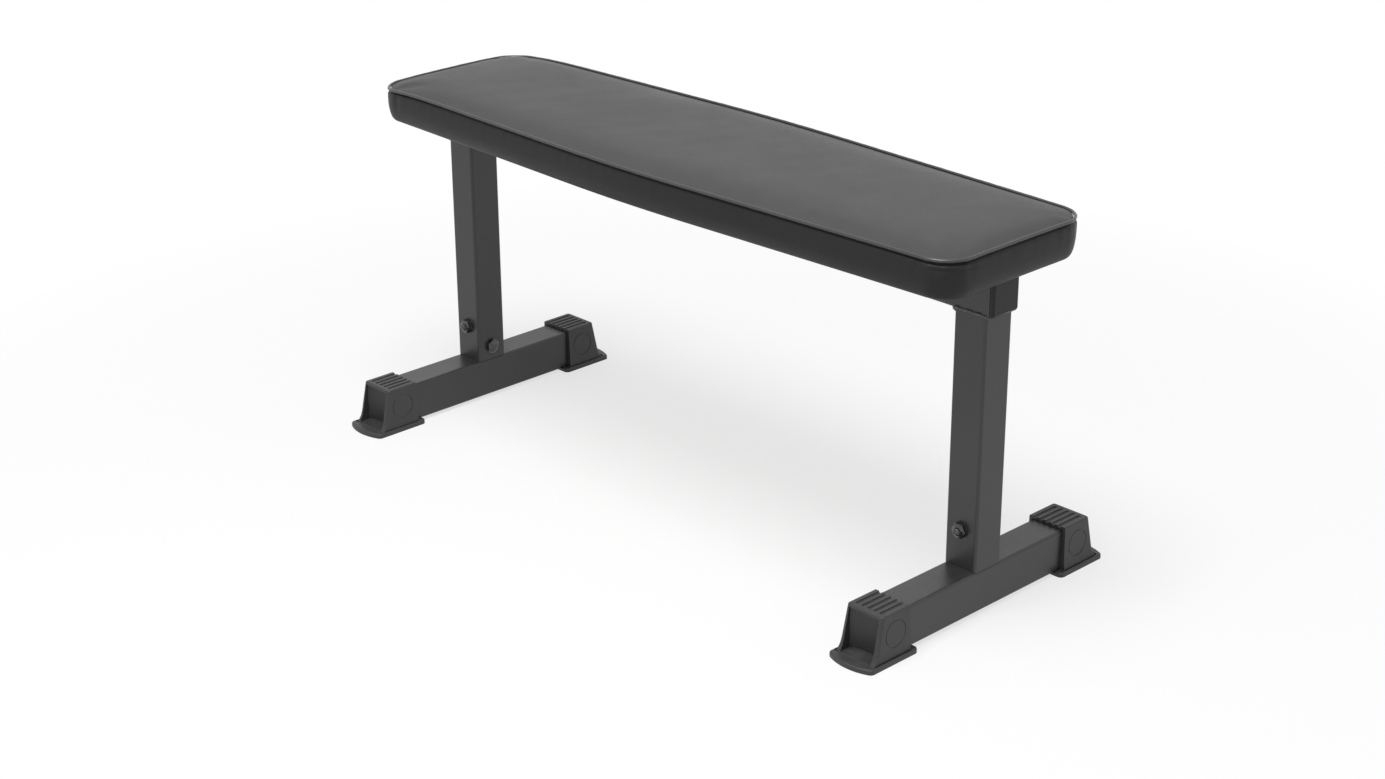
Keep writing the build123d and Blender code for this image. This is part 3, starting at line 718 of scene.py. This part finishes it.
# %% Fill it
def fill_cover():
    """Runs the cloth solver and returns where every point ended, moved no further than the cap."""
    scene = bpy.context.scene
    cloth = cover.modifiers.new("filling", "CLOTH")
    cloth.settings.quality = SOLVER_QUALITY
    cloth.settings.bending_stiffness = STIFFNESS
    cloth.settings.use_pressure = True
    cloth.settings.uniform_pressure_force = PRESSURE
    cloth.settings.effector_weights.gravity = 0
    cloth.settings.vertex_group_mass = "held"
    cloth.settings.vertex_group_shrink = "spare"
    cloth.settings.shrink_max = CORNER_SPARE
    cloth.point_cache.frame_end = SIM_FRAMES
    for step in range(1, SIM_FRAMES + 1):
        scene.frame_set(step)
    settled = cover.evaluated_get(bpy.context.evaluated_depsgraph_get()).data
    found = np.empty(len(settled.vertices) * 3)
    settled.vertices.foreach_get("co", found)
    cover.modifiers.remove(cloth)
    scene.frame_set(1)
    moved = found.reshape(-1, 3) - cover_points
    length = np.linalg.norm(moved, axis=1, keepdims=True) + 1e-9
    print("free swell up to", round(float(length.max()) / MM, 2), "mm")
    return cover_points + moved / length * SWELL_CAP * np.tanh(length / SWELL_CAP)


cover.data.vertices.foreach_set("co", fill_cover().ravel())
cover.data.update()
print("cover filled")

# %% [markdown]
# One subdivision rounds the rings and the grid into a smooth skin. The opening in the hem is then closed
# by one face that lies out of sight inside the board, so the filled cover is a closed form.

# %% Smooth the skin
smoother = cover.modifiers.new("smoother", "SUBSURF")
smoother.levels = smoother.render_levels = 1
smooth_mesh = bpy.data.meshes.new_from_object(cover.evaluated_get(bpy.context.evaluated_depsgraph_get()))
cover.modifiers.clear()
cover.data = smooth_mesh
shell = bmesh.new()
shell.from_mesh(cover.data)
bmesh.ops.edgeloop_fill(shell, edges=[e for e in shell.edges if e.is_boundary])
shell.to_mesh(cover.data)
shell.free()
cover.data.shade_smooth()
print(len(cover.data.polygons), "faces after smoothing")

# %% [markdown]
# ## The cord in the seam
# A thin vinyl cord is sewn between the top panel and the side band. A bevelled curve would do, but a tube
# of rings can follow the seam's own points and vary a little in thickness, as a hand-fed cord does.

# %% Cord
CORD_RADIUS, CORD_INSET, CORD_LIFT, CORD_SIDES = 2.0 * MM, 2.3, 0.6, 12
CORD_WOBBLE, CORD_RATES = 0.03, (410, 173)


def cord_tube():
    centre = ring_points(CORD_INSET, SEAM_RING[1] + CORD_LIFT, on_top=False, gathered=False)
    quick, slow = CORD_RATES
    wobble = 1 + CORD_WOBBLE * (np.sin(loop_run * quick) + np.sin(loop_run * slow + 1))
    across = np.column_stack([loop_normal, np.zeros(LOOP)])
    return closed_tube("pad_cord", centre, across, CORD_RADIUS * wobble, CORD_SIDES)


cord = cord_tube()
print("cord", round(2 * CORD_RADIUS / MM, 1), "mm thick")


# %% [markdown]
# ## Vinyl
# Black upholstery vinyl is a smooth dielectric over dark pigment. What shows is mostly its sheen, so the
# material works on roughness and the normal: pebbles below a millimetre with duller valleys, a tone and a
# gloss that vary slowly, and a little dust on top. Panel, band and cord are one vinyl and differ only in
# tone and gloss, so one function makes all three. The band's darker tone and lower specular level are
# painted shade, and the cord's lighter tone is painted highlight.

# %% Vinyl finish
VINYL_DUST, VALLEY_ROUGHNESS = (0.20, 0.195, 0.19), 0.12


def vinyl(name, dark, light, rough, pebble_bump, specular=0.5):
    finish = bpy.data.materials.new(name)
    finish.use_nodes = True
    tree = finish.node_tree
    shader = tree.nodes["Principled BSDF"]
    tone = place(tree, UNEVEN_TONE, Scale=9.0, Contrast=2.4).outputs["Value"]
    lying = place(tree, SETTLED_DUST, Amount=0.05, Scale=30.0).outputs["Mask"]
    pebble = place(tree, PEBBLED_VINYL, Scale=950.0)
    colour = blend_colour(tree, tone, dark, light)
    colour = blend_colour(tree, lying, colour, VINYL_DUST)
    tree.links.new(colour, shader.inputs["Base Color"])
    sheen = spread(tree, tone, 0.0, 1.0, rough[0], rough[1])
    valley = maths(tree, "MULTIPLY", pebble.outputs["Valley"], VALLEY_ROUGHNESS)
    tree.links.new(maths(tree, "ADD", sheen, valley), shader.inputs["Roughness"])
    raised = node(tree, "ShaderNodeBump", {"Strength": pebble_bump, "Distance": 0.00025,
                                           "Height": pebble.outputs["Height"]})
    tree.links.new(raised.outputs["Normal"], shader.inputs["Normal"])
    shader.inputs["Specular IOR Level"].default_value = specular
    return finish


cover.data.materials[TOP_VINYL] = vinyl(
    "black_vinyl_top", (0.018, 0.018, 0.019), (0.027, 0.027, 0.028), rough=(0.38, 0.48), pebble_bump=0.25)
# The side band: the same vinyl painted darker and given a lower specular level, as painted shade.
cover.data.materials[BAND_VINYL] = vinyl(
    "black_vinyl_band_painted_shade", (0.006, 0.006, 0.007), (0.010, 0.010, 0.011), rough=(0.38, 0.47), pebble_bump=0.25,
    specular=0.30)
# The cord: the same vinyl painted a little lighter as painted highlight, and glossier.
cord.data.materials.append(vinyl(
    "black_vinyl_cord_painted_highlight", (0.024, 0.024, 0.025), (0.034, 0.034, 0.035), rough=(0.17, 0.24), pebble_bump=0.1,
    specular=0.65))
print("vinyl on cover and cord")

# %% Stand the pad in for its solids
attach(cover, "root")
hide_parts("cover_top", "cover_side", "pad_foam")
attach(cord, "root")
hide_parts("cover_piping")
print("pad rides on the bench")
